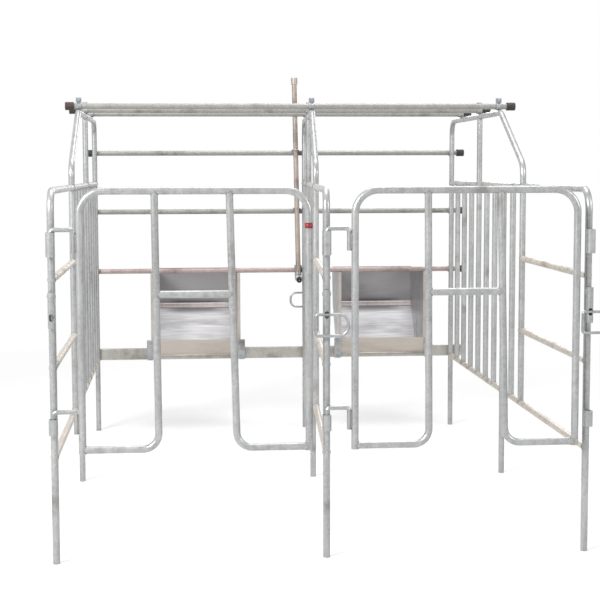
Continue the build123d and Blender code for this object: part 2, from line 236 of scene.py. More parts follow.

# %% [markdown]
# The troughs are thin zinc-coated sheet, cut, folded and welded. Rolling leaves a grain that runs across
# them, and use leaves wide clouds of wear. The grain is finer than a millimetre, too fine to show, so it is
# drawn 7 mm wide. Both are noise that is stretched along X. The sheet's tones, with the painted shade and
# painted light on its back wall and the painted shadow in its creases, could be drawn on a picture, but here
# the height and the depth of a point decide them, with places from the shop drawing, so that it needs no
# unwrapping.

# %% Trough places and patterns
SEAT_GAP = 0.3
MOUTH_Y = BAY + TUBE_R + SEAT_GAP
TROUGHS = {"left": -351.0, "right": 475.0}
RIB_LOW, RIB_HIGH = 503.0, 526.0
TROUGH_LOW, TROUGH_TOP = 300.0, 686.0
BACK_FROM, BACK_FULL = 270.0, 310.0
SHEET_OVER, LIP_FADE = 2.2, 6.0
GRAIN_MM, CLOUD_MM, SPOT_MM = 7.0, 70.0, 16.0
trough_sheet = blank("rolled_trough_sheet")
place = add(trough_sheet, "ShaderNodeTexCoord").outputs["Object"]
grain_run = add(trough_sheet, "ShaderNodeMapping", None, {"Vector": place, "Scale": (0.05, 1.0, 1.0)})
grain = add(trough_sheet, "ShaderNodeTexNoise", None,
            {"Vector": grain_run.outputs[0], "Scale": 1000 / GRAIN_MM, "Detail": 3.0, "Roughness": 0.6})
wave_run = add(trough_sheet, "ShaderNodeMapping", None, {"Vector": place, "Scale": (0.22, 1.0, 1.0)})
cloud = add(trough_sheet, "ShaderNodeTexNoise", None,
            {"Vector": wave_run.outputs[0], "Scale": 1000 / CLOUD_MM, "Detail": 5.0, "Roughness": 0.62})
spots = add(trough_sheet, "ShaderNodeTexVoronoi", {"feature": "F1"},
            {"Vector": place, "Scale": 1000 / SPOT_MM, "Randomness": 1.0})
parts = add(trough_sheet, "ShaderNodeSeparateXYZ", None, {"Vector": place})
print("trough patterns in mm:", GRAIN_MM, CLOUD_MM, SPOT_MM)

# %% [markdown]
# The back wall carries painted shade and painted light: a darker, slightly violet grey over its raised band,
# darkest at the top, is painted shade, and a lighter grey under it is painted light. A colour ramp along the
# height gives these tones, and the grain and the clouds darken them in turn. A few separate materials would
# do it too, but they would meet in hard lines.

# %% Trough tones by height
def height_share(z):
    """Where a height lies between a trough's lowest and highest point, from 0 to 1."""
    return (z - TROUGH_LOW) / (TROUGH_TOP - TROUGH_LOW)


by_height = add(trough_sheet, "ShaderNodeMapRange", None,
                {"Value": parts.outputs["Z"], "From Min": TROUGH_LOW / 1000, "From Max": TROUGH_TOP / 1000,
                 "To Min": 0.0, "To Max": 1.0})
# Painted shade over the band, darkest at the top, and painted light under it.
tones = [(TROUGH_LOW, "#B0AEAC"), (345.0, "#C4C3C5"), (470.0, "#B9B8BA"), (505.0, "#9A9899"),
         (560.0, "#9C9A9B"), (620.0, "#8F8D8E"), (TROUGH_TOP, "#7C7A7B")]
height_shade_and_light = add(trough_sheet, "ShaderNodeValToRGB", None, {"Fac": by_height.outputs[0]},
             [(height_share(z), paint(tone)) for z, tone in tones])
grain_share = add(trough_sheet, "ShaderNodeMapRange", None,
                  {"Value": grain.outputs[0], "From Min": 0.38, "From Max": 0.66,
                   "To Min": 0.0, "To Max": 0.55})
grained = add(trough_sheet, "ShaderNodeMix", {"data_type": "RGBA"},
              {0: grain_share.outputs[0], 6: height_shade_and_light.outputs[0], 7: paint("#8C8B8E")})
worn_share = add(trough_sheet, "ShaderNodeMapRange", {"interpolation_type": "SMOOTHSTEP"},
                 {"Value": cloud.outputs[0], "From Min": 0.46, "From Max": 0.68,
                  "To Min": 0.0, "To Max": 0.45})
worn = add(trough_sheet, "ShaderNodeMix", {"data_type": "RGBA"},
           {0: worn_share.outputs[0], 6: grained.outputs[2], 7: paint("#7E7B7D")})
print("trough tones:", len(tones))

# %% [markdown]
# Painted shadow lies in the creases over and under the raised band, as if the rib shaded the wall, thickest
# in the middle of each trough. It could be drawn on a picture, but the band's place is known: each condition,
# such as near the crease, at the back, near the middle or facing the sow, is a share from 0 to 1. Multiplied,
# they let the painted shadow show only where all of them hold.

# %% Painted shadow in the creases
crease_stops = [(478.0, 0.0), (492.0, 0.8), (RIB_LOW - 1, 0.9), (RIB_LOW, 0.0), (RIB_HIGH, 0.0),
                (RIB_HIGH + 1, 0.9), (532.0, 0.8), (544.0, 0.0)]
crease_shade_ramp = add(trough_sheet, "ShaderNodeValToRGB", None, {"Fac": by_height.outputs[0]},
              [(height_share(z), (share, share, share, 1)) for z, share in crease_stops])
back_share = add(trough_sheet, "ShaderNodeMapRange", None,
                 {"Value": parts.outputs["Y"], "From Min": at(0, MOUTH_Y + BACK_FROM, 0).y,
                  "From Max": at(0, MOUTH_Y + BACK_FULL, 0).y, "To Min": 0.0, "To Max": 1.0})
off_middle = []
for middle in TROUGHS.values():
    shifted = add(trough_sheet, "ShaderNodeMath", {"operation": "SUBTRACT"},
                  {0: parts.outputs["X"], 1: at(middle, 0, 0).x})
    away = add(trough_sheet, "ShaderNodeMath", {"operation": "ABSOLUTE"}, {0: shifted.outputs[0]})
    off_middle.append(away)
nearest = add(trough_sheet, "ShaderNodeMath", {"operation": "MINIMUM"},
              {0: off_middle[0].outputs[0], 1: off_middle[1].outputs[0]})
middle_share = add(trough_sheet, "ShaderNodeMapRange", {"interpolation_type": "SMOOTHSTEP"},
                   {"Value": nearest.outputs[0], "From Min": 0.06, "From Max": 0.17,
                    "To Min": 1.0, "To Max": 0.1})
crease_back = add(trough_sheet, "ShaderNodeMath", {"operation": "MULTIPLY"},
                  {0: crease_shade_ramp.outputs[0], 1: back_share.outputs[0]})
crease_middle = add(trough_sheet, "ShaderNodeMath", {"operation": "MULTIPLY"},
                    {0: crease_back.outputs[0], 1: middle_share.outputs[0]})
facing = add(trough_sheet, "ShaderNodeSeparateXYZ", None,
             {"Vector": add(trough_sheet, "ShaderNodeNewGeometry").outputs["Normal"]})
inside = add(trough_sheet, "ShaderNodeMath", {"operation": "LESS_THAN"}, {0: facing.outputs["Y"], 1: 0.0})
crease_shadow_share = add(trough_sheet, "ShaderNodeMath", {"operation": "MULTIPLY"},
                   {0: crease_middle.outputs[0], 1: inside.outputs[0]})
# Painted shadow: a dark grey in the creases over and under the rib.
crease_shadowed_colour = add(trough_sheet, "ShaderNodeMix", {"data_type": "RGBA"},
              {0: crease_shadow_share.outputs[0], 6: worn.outputs[2], 7: paint("#4A474B")})
print("crease stops:", len(crease_stops))

# %% [markdown]
# The lip and the mouth flanges face the weather and are a dull brownish grey with hardly any
# shine. Nothing else of a trough stands as far forward, so their depth picks them out. The
# sheet is matter and smoother by turns, as rubbed metal is, and spots and grain give it its
# fine relief. Real dents would cost many faces, and bump shows as much at this distance.

# %% Trough lip and relief
front_share = add(trough_sheet, "ShaderNodeMapRange", None,
                  {"Value": parts.outputs["Y"], "From Min": at(0, MOUTH_Y + SHEET_OVER, 0).y,
                   "From Max": at(0, MOUTH_Y + LIP_FADE, 0).y, "To Min": 1.0, "To Max": 0.0})
lip_tone = add(trough_sheet, "ShaderNodeMix", {"data_type": "RGBA"},
               {0: worn_share.outputs[0], 6: paint("#ADA59D"), 7: paint("#8D837A")})
sheet_colour = add(trough_sheet, "ShaderNodeMix", {"data_type": "RGBA"},
                   {0: front_share.outputs[0], 6: crease_shadowed_colour.outputs[2], 7: lip_tone.outputs[2]})
sheet_metal = add(trough_sheet, "ShaderNodeMapRange", None,
                  {"Value": front_share.outputs[0], "From Min": 0.0, "From Max": 1.0,
                   "To Min": 0.3, "To Max": 0.15})
sheet_gloss = add(trough_sheet, "ShaderNodeMapRange", None,
                  {"Value": cloud.outputs[0], "From Min": 0.3, "From Max": 0.7,
                   "To Min": 0.34, "To Max": 0.52})
sheet_relief = add(trough_sheet, "ShaderNodeMath", {"operation": "MULTIPLY_ADD"},
                   {0: spots.outputs["Distance"], 1: 0.4, 2: grain.outputs[0]})
sheet_bump = add(trough_sheet, "ShaderNodeBump", None,
                 {"Strength": 0.2, "Distance": 0.0008, "Height": sheet_relief.outputs[0]})
sheet_face = add(trough_sheet, "ShaderNodeBsdfPrincipled", None,
                 {"Base Color": sheet_colour.outputs[2], "Metallic": sheet_metal.outputs[0],
                  "Roughness": sheet_gloss.outputs[0], "Normal": sheet_bump.outputs[0]})
add(trough_sheet, "ShaderNodeOutputMaterial", None, {"Surface": sheet_face.outputs[0]})
print("trough sheet nodes:", len(trough_sheet.node_tree.nodes))

# %% [markdown]
# Rubber, sprayed weld and tape have no crystals. What the eye sees is a plain base with dust
# in its pores, and how rough it is: dull for moulded rubber, in between for a weld, and nearly
# glossy for tape. The pores are finer than a millimetre, too fine to show, so the dust is
# drawn in flecks of 3 to 6 mm. One recipe serves all of them, since a noise and two colours
# are enough at this distance.

# %% The dusty recipe
DUST_FROM, DUST_FULL = 0.42, 0.7


def dusty(name, base, dust, grain_mm, rough, share, metallic=0.0, bump=0.3):
    """A plain moulded, welded or wrapped finish with dust in its grain."""
    m = blank(name)
    where = add(m, "ShaderNodeTexCoord").outputs["Object"]
    pores = add(m, "ShaderNodeTexNoise", None,
                {"Vector": where, "Scale": 1000 / grain_mm, "Detail": 4.0, "Roughness": 0.65})
    amount = add(m, "ShaderNodeMapRange", {"interpolation_type": "SMOOTHSTEP"},
                 {"Value": pores.outputs[0], "From Min": DUST_FROM, "From Max": DUST_FULL,
                  "To Min": 0.0, "To Max": share})
    colour = add(m, "ShaderNodeMix", {"data_type": "RGBA"},
                 {0: amount.outputs[0], 6: paint(base), 7: paint(dust)})
    skin = add(m, "ShaderNodeBump", None, {"Strength": bump, "Distance": 0.0005, "Height": pores.outputs[0]})
    surface = add(m, "ShaderNodeBsdfPrincipled", None,
                  {"Base Color": colour.outputs[2], "Metallic": metallic, "Roughness": rough,
                   "Normal": skin.outputs[0]})
    add(m, "ShaderNodeOutputMaterial", None, {"Surface": surface.outputs[0]})
    return m, where, colour, surface


print("dust shows where the noise passes", DUST_FROM)

# %% [markdown]
# The rail ends wear moulded rubber caps, black with grey dust in their pores. The left cap on
# the rear top rail has caught rust. It could have a rubber of its own, but a ball of brown,
# mixed in by the distance from that one place, keeps all the caps in one material.

# %% Cap rubber with rust on one cap
RUSTY_CAP = (-824, 1205, 1371)
cap_rubber, cap_where, cap_colour, cap_surface = dusty(
    "moulded_cap_rubber", "#171718", "#4A4744", 6.0, 0.62, 0.5)
rust_gap = add(cap_rubber, "ShaderNodeVectorMath", {"operation": "DISTANCE"},
               {0: cap_where, 1: tuple(at(*RUSTY_CAP))})
rust_share = add(cap_rubber, "ShaderNodeMapRange", {"interpolation_type": "SMOOTHSTEP"},
                 {"Value": rust_gap.outputs["Value"], "From Min": 0.012, "From Max": 0.05,
                  "To Min": 0.75, "To Max": 0.0})
rusty = add(cap_rubber, "ShaderNodeMix", {"data_type": "RGBA"},
            {0: rust_share.outputs[0], 6: cap_colour.outputs[2], 7: paint("#3A2620")})
cap_rubber.node_tree.links.new(rusty.outputs[2], cap_surface.inputs["Base Color"])
print("rust round:", [round(value, 3) for value in at(*RUSTY_CAP)])

# %% [markdown]
# The weld beads are the only metal without the dip: they were brushed and sprayed with cold
# zinc, and come out darker and browner. The band on the left gate is dark red tape, and the
# valve's seal is black rubber. Nothing more is mixed into these, because they are small.

# %% Weld, tape and seal
weld_zinc = dusty("cold_sprayed_weld", "#908D87", "#6F685F", 4.0, 0.5, 0.6, 0.4, 0.5)[0]
red_tape = dusty("dark_red_tape", "#86191D", "#3E1214", 5.0, 0.28, 0.4)[0]
nipple_black = dusty("black_nipple_seal", "#141415", "#343230", 3.0, 0.5, 0.35)[0]
print("small finishes:", weld_zinc.name, red_tape.name, nipple_black.name)

# %% [markdown]
# The nodes keep their shapes and take their finishes by name. The first rules go by how a
# name starts, the longer ones first, and the next by how it ends. What no rule finds is plain
# tube. Choosing by hand would do for one crate, but rules by name hold when a node is added.

# %% Dress the CAD nodes
finishes = [
    ("gate_left_hooks", fitting_zinc), ("gate_right_hooks", fitting_zinc), ("gate_", tube_zinc),
    ("front_rail_low", pink_zinc), ("front_rail", rail_zinc), ("top_rail", rail_zinc),
    ("front_beam", beam_zinc), ("end_caps", cap_rubber), ("rail_clamps", fitting_zinc),
    ("trough_brackets", fitting_zinc), ("trough_", trough_sheet), ("drinker_pipe", pipe_zinc),
    ("drinker_nipple", fitting_zinc), ("drinker_clips", fitting_zinc), ("latch_ring", fitting_zinc),
]
endings = [("_sleeves", fitting_zinc), ("_side_rails", side_zinc), ("_bottom_rail", side_zinc),
           ("_bars", bar_zinc)]
for name, piece in nodes.items():
    found = [m for start, m in finishes if name.startswith(start)]
    found += [m for end, m in endings if name.endswith(end)]
    for slot in piece.material_slots:
        slot.material = (found or [tube_zinc])[0]
print("dressed:", len(nodes))

# %% [markdown]
# A weld bead runs round each joint in the valley between two tubes. Where a tube stands
# square on another of its own size, that valley is a saddle: as the bead goes round the tube,
# it dips from the crown of the other tube to its flanks. The bead is a thin tube of metal
# swept along the saddle, a little lumpy, as a hand-held torch leaves it. A bevelled curve
# could be the bead, but a mesh of rings can have a lump at each ring. The rings are laid out
# from a direction that no weld on the crate follows.

# %% Sweep a bead along a path
ODD_WAY = Vector((0.31, 0.17, 0.93))
BEAD_END = 0.45


def add_ring(mesh, middle, across, over, radius, sides, phase=0.0):
    """Add a ring of points round a middle point; the radius is in metres."""
    turns = [phase + 2 * math.pi * k / sides for k in range(sides)]
    return [mesh.verts.new(middle + (across * math.cos(a) + over * math.sin(a)) * radius) for a in turns]


def join_rings(mesh, low, high):
    """Close the wall between two rings that have the same number of points."""
    sides = len(low)
    for k in range(sides):
        mesh.faces.new([low[k], low[(k + 1) % sides], high[(k + 1) % sides], high[k]])


def sweep_bead(mesh, points, radius, sides=6, closed=False, lump=0.18, seed=0):
    """Add a lumpy tube of metal along points, in metres; the radius is in millimetres."""
    chance = random.Random(seed)
    count = len(points)
    rings = []
    for i, point in enumerate(points):
        before = points[i - 1] if (i or closed) else point
        after = points[(i + 1) % count] if (i + 1 < count or closed) else point
        way = (after - before).normalized()
        across = way.cross(ODD_WAY).normalized()
        over = way.cross(across)
        r = radius / 1000 * (1 + lump * (2 * chance.random() - 1))
        if not closed and i in (0, count - 1):
            r *= BEAD_END
        rings.append(add_ring(mesh, point, across, over, r, sides))
    pairs = list(zip(rings, rings[1:] + rings[:1])) if closed else list(zip(rings, rings[1:]))
    for low, high in pairs:
        turn = min(range(sides), key=lambda k: (high[k].co - low[0].co).length)
        join_rings(mesh, low, high[turn:] + high[:turn])
    if not closed:
        mesh.faces.new(list(reversed(rings[0])))
        mesh.faces.new(rings[-1])


print("a bead narrows at its ends to", BEAD_END)

# %% [markdown]
# A formula gives the saddle: going round the branch tube, it is how high the main tube's
# surface lies. Cutting one tube with the other would give the same curve for far more work.
# The branch is taken a hair thinner than it is, so that the bead sinks into the corner.
# The second function here finishes a piece: its normals, material, shading, the body that it
# rides on and the CAD node that it stands in for are all set in one place.

# %% The saddle, and finishing a piece
SADDLE_R = TUBE_R * 0.985


def saddle(middle, main_way, branch_way, main_r, branch_r, steps=36):
    """The valley where a branch tube stands on a main tube, as points round the branch."""
    side = main_way.cross(branch_way).normalized()
    points = []
    for k in range(steps):
        turn = 2 * math.pi * k / steps
        along, beside = branch_r * math.cos(turn), branch_r * math.sin(turn)
        lift = math.sqrt(max(main_r**2 - beside**2, 0.0))
        points.append(middle + (main_way * along + side * beside + branch_way * lift) / 1000)
    return points


def finish_mesh(mesh, name, material, body, smooth=True, replaces=(), angle=None):
    """Turn a bmesh into a piece on a body; edges sharper than an angle in degrees stay crisp."""
    bmesh.ops.recalc_face_normals(mesh, faces=mesh.faces)
    data = bpy.data.meshes.new(name)
    mesh.to_mesh(data)
    mesh.free()
    data.materials.append(material)
    if smooth:
        data.shade_smooth()
    if angle:
        data.set_sharp_from_angle(angle=math.radians(angle))
    piece = placed(name, data)
    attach(piece, body)
    if replaces:
        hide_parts(*replaces)
    print(name, "faces:", len(data.polygons))
    return piece


print("a saddle dips by", round(TUBE_R - math.sqrt(TUBE_R**2 - SADDLE_R**2), 2), "mm")

# %% [markdown]
# Each panel has its welds in the same places: the bars and the leg under the top rail, the
# bars on the bottom rail, the rails on the posts, and the hood and its brace. The places come
# from the bar pitch of the panel, so one list serves all three.

# %% Panel welds
UP, DOWN = Vector((0, 0, 1)), Vector((0, 0, -1))
BAR_PITCH, BAR_COUNT, LEG_BAR, BRACE_BAR = 145.7, 9, 7, 4
BOTTOM_Z, LOW_Z, HIGH_Z, TOP_Z, HOOD_Z = 313.0, 572.0, 825.0, 1078.0, 1346.0
BEAD_R = 2.0
for panel, (_, way, length) in panels.items():
    back = -way
    joints = []
    for number in range(1, BAR_COUNT + 1):
        along = length - number * BAR_PITCH
        joints.append((along, TOP_Z, way, DOWN))
        if number == LEG_BAR:
            joints += [(along, BOTTOM_Z, UP, way), (along, BOTTOM_Z, UP, back)]
        else:
            joints.append((along, BOTTOM_Z, way, UP))
    knee = length - BAR_COUNT * BAR_PITCH
    brace = length - BRACE_BAR * BAR_PITCH
    joints += [(0, z, UP, way) for z in (BOTTOM_Z, LOW_Z, HIGH_Z)]
    joints += [(knee, z, UP, back) for z in (LOW_Z, HIGH_Z)]
    joints += [(length, z, UP, back) for z in (BOTTOM_Z, TOP_Z)]
    joints += [(knee, TOP_Z, way, UP), (brace, TOP_Z, way, UP), (brace, HOOD_Z, way, DOWN)]
    beads = bmesh.new()
    for seed, (along, z, main, branch) in enumerate(joints):
        ring = saddle(on_panel(panel, along, z), main, branch, TUBE_R, SADDLE_R)
        sweep_bead(beads, ring, BEAD_R, closed=True, seed=seed)
    finish_mesh(beads, f"{panel}_panel_welds", weld_zinc, "crate")

# %% [markdown]
# The sleeves stand against the posts, so their beads are straight: one runs down each side of
# the line where the two tubes touch. The beam at the head is fixed to its posts the same way.
# The same sweep makes them, along a straight run of points in place of a saddle.

# %% Sleeve and beam welds
SLEEVE_R, SLEEVE_WALL = 13.45, 3.0
hinge_line = -(TUBE_R + SLEEVE_R)
HINGE_SPANS, LATCH_SPAN = ((892.0, 962.0), (381.0, 428.0)), (688.0, 797.0)
HEAD_DROP = 124.0
SEAM_OUT, SEAM_SIDE, SEAM_R, SEAM_END, SEAM_STEPS = 0.4, 4.6, 2.4, 3.0, 9
BEAM_Z, BEAM_HEIGHT, BEAM_SIDE, BEAM_BEAD_R, BEAM_STEPS = 311.0, 44.0, 5.2, 2.2, 7
SINK, SKEW_SINK = 0.4, 0.6
seams = bmesh.new()
for panel, (_, _, length) in panels.items():
    places = [(-TUBE_R - SEAM_OUT, low, high) for low, high in (*HINGE_SPANS, LATCH_SPAN)]
    if panel == "centre":
        places.append((length + TUBE_R + SEAM_OUT, *(z - HEAD_DROP for z in LATCH_SPAN)))
    for along, low, high in places:
        rise = high - low - 2 * SEAM_END
        for side in (-SEAM_SIDE, SEAM_SIDE):
            run = [on_panel(panel, along, low + SEAM_END + rise * k / SEAM_STEPS, side)
                   for k in range(SEAM_STEPS + 1)]
            sweep_bead(seams, run, SEAM_R, seed=int(high + side))
    foot = length + TUBE_R - (SKEW_SINK if panel == "centre" else SINK)
    for side in (-BEAM_SIDE, BEAM_SIDE):
        run = [on_panel(panel, foot, BEAM_Z + BEAM_HEIGHT * k / BEAM_STEPS, side)
               for k in range(BEAM_STEPS + 1)]
        sweep_bead(seams, run, BEAM_BEAD_R, seed=int(foot + side))
finish_mesh(seams, "sleeve_and_beam_welds", weld_zinc, "crate")

# %% [markdown]
# A gate is welded flat on a table: two bars shaped like a J stand in the bent frame with a
# crossbar between them, and two rod hooks are laid against the hinge upright. Its welds could
# be joined with the panels' welds, but then they would stay behind when the gate swings. So
# each gate has its own welds, which ride on it.

# %% Gate welds
ACROSS, BACKWARDS = Vector((1, 0, 0)), Vector((-1, 0, 0))
HOOK_REACH, GATE_WIDTH, FOOT_Z, CROSS_Z = 82.0, 652.0, 337.0, 783.0
BAR_TOPS, BAR_FEET = (212.0, GATE_WIDTH - 227.0), (218.0, GATE_WIDTH - 209.0)
HOOK_R = 6.5
HOOK_TOPS = (HINGE_SPANS[0][1] + SEAT_GAP + HOOK_R, 448.0)
HOOK_SIDE, HOOK_BEAD_R, HOOK_DROP, HOOK_RUN, HOOK_STEPS = 4.4, 2.3, 12.0, 50.0, 8
centre_hinge = (CENTRE_REAR + math.sin(skew) * hinge_line, math.cos(skew) * hinge_line)
gates = {"left": (-HALF_WIDTH, hinge_line), "right": centre_hinge}
share = (TOP_Z - CROSS_Z) / (TOP_Z - FOOT_Z)
for gate, (hinge_x, y) in gates.items():
    left = hinge_x + HOOK_REACH
    right = left + GATE_WIDTH
    cross = [left + top + (foot - top) * share for top, foot in zip(BAR_TOPS, BAR_FEET)]
    joints = [(left + top, TOP_Z, ACROSS, DOWN) for top in BAR_TOPS]
    joints += [(left, FOOT_Z, UP, ACROSS), (right, FOOT_Z, UP, BACKWARDS)]
    joints += [(cross[0], CROSS_Z, UP, ACROSS), (cross[1], CROSS_Z, UP, BACKWARDS)]
    beads = bmesh.new()
    for seed, (x, z, main, branch) in enumerate(joints):
        ring = saddle(at(x, y, z), main, branch, TUBE_R, SADDLE_R)
        sweep_bead(beads, ring, BEAD_R, closed=True, seed=seed + 50)
    for top in HOOK_TOPS:
        for side in (-HOOK_SIDE, HOOK_SIDE):
            run = [at(left - TUBE_R + SINK, y + side, top - HOOK_DROP - HOOK_RUN * k / HOOK_STEPS)
                   for k in range(HOOK_STEPS + 1)]
            sweep_bead(beads, run, HOOK_BEAD_R, seed=int(top + side))
    finish_mesh(beads, f"gate_{gate}_welds", weld_zinc, f"gate_{gate}")

# %% [markdown]
# The back wall of a trough is stiffened by a raised rib over its fold, rolled paler than the
# sheet. The bottom edge of the lip is rolled into a hem, so that no sharp edge meets a snout.
# Both have one section all along, so they are made as a mill draws a bar: the section's points
# at each end and a wall between them. The rib's points follow the slope of the wall behind.

# %% Trough ribs and hems
INNER_HALF, HEM_HALF = 182.5, 184.0
FOLD_Y, FOLD_Z = 342.0, 510.0
LOW_SLOPE, HIGH_SLOPE = 157 / 208, 30 / 176
HEM_R, HEM_Z = 4.0, 327.0


def wall_depth(z):
    """How far behind the mouth the inner face of a trough's back wall lies at a height."""
    slope = LOW_SLOPE if z < FOLD_Z else HIGH_SLOPE
    return FOLD_Y - SHEET_OVER + (z - FOLD_Z) * slope


def rib_section():
    """The rib's outline as depth and height: four rounded steps out, then back into the wall."""
    steps = [(RIB_LOW, 0.0), (RIB_LOW + 1.2, 2.4), (RIB_LOW + 3.5, 3.6), (FOLD_Z + 3, 3.9),
             (RIB_HIGH - 3.5, 3.6), (RIB_HIGH - 1.2, 2.4), (RIB_HIGH, 0.0)]
    front = [(wall_depth(z) - proud, z) for z, proud in steps]
    return front + [(wall_depth(RIB_HIGH) + 1, RIB_HIGH), (wall_depth(RIB_LOW) + 1, RIB_LOW)]


def extruded(mesh, section, low_x, high_x):
    """Add a bar along X with a section of depths behind the mouth and heights."""
    ends = [[mesh.verts.new(at(x, MOUTH_Y + depth, z)) for depth, z in section] for x in (low_x, high_x)]
    join_rings(mesh, *ends)
    mesh.faces.new(list(reversed(ends[0])))
    mesh.faces.new(ends[1])


ribs = bmesh.new()
hems = bmesh.new()
for centre in TROUGHS.values():
    extruded(ribs, rib_section(), centre - INNER_HALF, centre + INNER_HALF)
    round_edge = [(-HEM_R - 0.2 + HEM_R * math.cos(a), HEM_Z + HEM_R * math.sin(a))
                  for a in (2 * math.pi * k / 16 for k in range(16))]
    extruded(hems, round_edge, centre - HEM_HALF, centre + HEM_HALF)
finish_mesh(ribs, "trough_ribs", rib_zinc, "crate", smooth=False)
finish_mesh(hems, "trough_lip_hems", hem_zinc, "crate")

# %% [markdown]
# A bolt is turned from a hexagon: a flat-sided head with its corners chamfered, a washer, a
# shank and a nut. A cylinder for each part would be quick, but it has no chamfers, and these
# catch the light. A builder of stacked rings gives any such turned shape, along any axis. The
# thread is left out: it is too fine to see from here.

# %% Turned shapes and bolts
def turned(mesh, base, way, profile, sides, phase=0.0):
    """Add a solid of stacked rings: each ring has a radius and a height along way, in mm."""
    across = way.orthogonal().normalized()
    over = way.cross(across)
    rings = [add_ring(mesh, base + way * rise / 1000, across, over, radius / 1000, sides, phase)
             for radius, rise in profile]
    for low, high in zip(rings, rings[1:]):
        join_rings(mesh, low, high)
    mesh.faces.new(list(reversed(rings[0])))
    mesh.faces.new(rings[-1])


WASHER_R, WASHER_T, CORNER_R, SHANK_R = 8.0, 1.4, 7.44, 3.85


def add_bolt(mesh, head_seat, nut_seat, phase):
    """A hexagon bolt from its head's seat through to its nut's seat, with a thread end."""
    way = (nut_seat - head_seat).normalized()
    grip = (nut_seat - head_seat).length * 1000
    washer = [(WASHER_R, 0), (WASHER_R, WASHER_T)]
    head = [(CORNER_R, WASHER_T), (CORNER_R, 5.6), (CORNER_R * 0.86, 6.6)]
    nut = [(CORNER_R * 0.88, WASHER_T), (CORNER_R, 2.1), (CORNER_R, 7.0), (CORNER_R * 0.88, 7.8)]
    rod = [(SHANK_R, -1.0), (SHANK_R, grip + 10.5), (SHANK_R * 0.8, grip + 11.6)]
    turned(mesh, head_seat, -way, washer, 20)
    turned(mesh, head_seat, -way, head, 6, phase)
    turned(mesh, nut_seat, way, washer, 20)
    turned(mesh, nut_seat, way, nut, 6, -phase)
    turned(mesh, head_seat, way, rod, 12)


print("bolt heads over their corners:", 2 * CORNER_R, "mm")

# %% [markdown]
# Each strap clamp is closed by one bolt through its two ears. The ears stand up over the rails
# on the hoods, and stand out behind the rails across the head. The bolts are joined in one
# mesh, since nobody takes one out, and each is turned a little differently, as a spanner
# leaves it.

# %% Clamp bolts
STRAP_OUT, EAR, EAR_FACE = 13.85, 17.0, 5.0
RAIL_Z = HOOD_Z + TUBE_R + STRAP_OUT + SEAT_GAP
FRONT_Y = BAY + TUBE_R + STRAP_OUT + SEAT_GAP
TOP_RAIL_YS, FRONT_RAIL_ZS = (1205.0, 1550.0, 1925.0), (1210.0, 956.0, 697.0)
clamp_bolts = bmesh.new()
for x0, way, _ in panels.values():
    for y in TOP_RAIL_YS:
        x = x0 + (way.x / way.y) * y
        up = RAIL_Z + STRAP_OUT + EAR / 2
        add_bolt(clamp_bolts, at(x, y - EAR_FACE, up), at(x, y + EAR_FACE, up), phase=0.3 + x)
    x = x0 + (way.x / way.y) * BAY
    for z in FRONT_RAIL_ZS:
        out = FRONT_Y + STRAP_OUT + EAR / 2
        add_bolt(clamp_bolts, at(x, out, z + EAR_FACE), at(x, out, z - EAR_FACE), phase=0.1 + z)
finish_mesh(clamp_bolts, "clamp_bolts", bolt_zinc, "crate", smooth=False)

# %% [markdown]
# Two bolts hold each bracket beside a trough: the upper one goes through the trough's lip, and
# the lower one through the beam. One loop makes all eight, because only their places and
# lengths differ.

# %% Bracket bolts
BRACKET_REACH, BRACKET_FACE = 200.0, 6.0
PLATE_BOLTS = ((384.4, 0.0), (315.6, 25.0))
plate_bolts = bmesh.new()
for centre in TROUGHS.values():
    for x in (centre - BRACKET_REACH, centre + BRACKET_REACH):
        for z, depth in PLATE_BOLTS:
            head_seat, nut_seat = at(x, MOUTH_Y - BRACKET_FACE, z), at(x, MOUTH_Y + depth, z)
            add_bolt(plate_bolts, head_seat, nut_seat, phase=x + z)
finish_mesh(plate_bolts, "trough_bolts", bolt_zinc, "crate", smooth=False)

# %% [markdown]
# The drinker ends in a cast elbow with a threaded valve: a rimmed socket on the pipe, a bend
# that turns the water towards the sow, a hexagon for the spanner, a black seal and a bright
# pin that the sow pushes. A lathe's profile can't go round the bend, so the bend is a smooth
# sweep and the rims and the hexagon are turned shapes set on it. It replaces the plainer
# solid, with its mouth turned nearly level.

# %% The drinking valve
ELBOW_X, ELBOW_Y, ELBOW_Z = 100.0, BAY + 10.5, 668.0
ELBOW_R, ELBOW_BEND, ELBOW_TILT, BEND_STEPS = 15.0, 22.0, math.radians(80), 12
SOCKET_RISE, ELBOW_REACH = 52.0, 34.0
SOCKET_RIM = [(15, 36), (16.6, 37.5), (16.6, SOCKET_RISE - 1), (15.8, SOCKET_RISE)]
MOUTH_RIM = [(14.6, 24), (16, 25.5), (16, 33), (14.6, 34)]
HEXAGON = [(14.4, 34), (15.5, 35), (15.5, 42), (14.4, 43)]
SEAL = [(10.4, 42), (11, 44), (11, 66), (10.2, 67), (7.6, 67), (7, 65), (7, 50)]
PIN = [(3.2, 49), (3.2, 67.5), (2.6, 68.6)]
elbow_corner = at(ELBOW_X, ELBOW_Y, ELBOW_Z)
valve_way = Vector((0, -math.sin(ELBOW_TILT), -math.cos(ELBOW_TILT)))
inset = ELBOW_BEND * math.tan(ELBOW_TILT / 2)
bend_centre = elbow_corner + Vector((0, -ELBOW_BEND, inset)) / 1000
route = [elbow_corner + UP * (SOCKET_RISE - 2) / 1000, elbow_corner + UP * (inset + 6) / 1000]
for k in range(BEND_STEPS + 1):
    turn = ELBOW_TILT * k / BEND_STEPS
    route.append(bend_centre + Vector((0, math.cos(turn), -math.sin(turn))) * ELBOW_BEND / 1000)
route.append(elbow_corner + valve_way * ELBOW_REACH / 1000)
elbow = bmesh.new()
sweep_bead(elbow, route, ELBOW_R, sides=28, lump=0.0)
turned(elbow, elbow_corner, UP, SOCKET_RIM, 28)
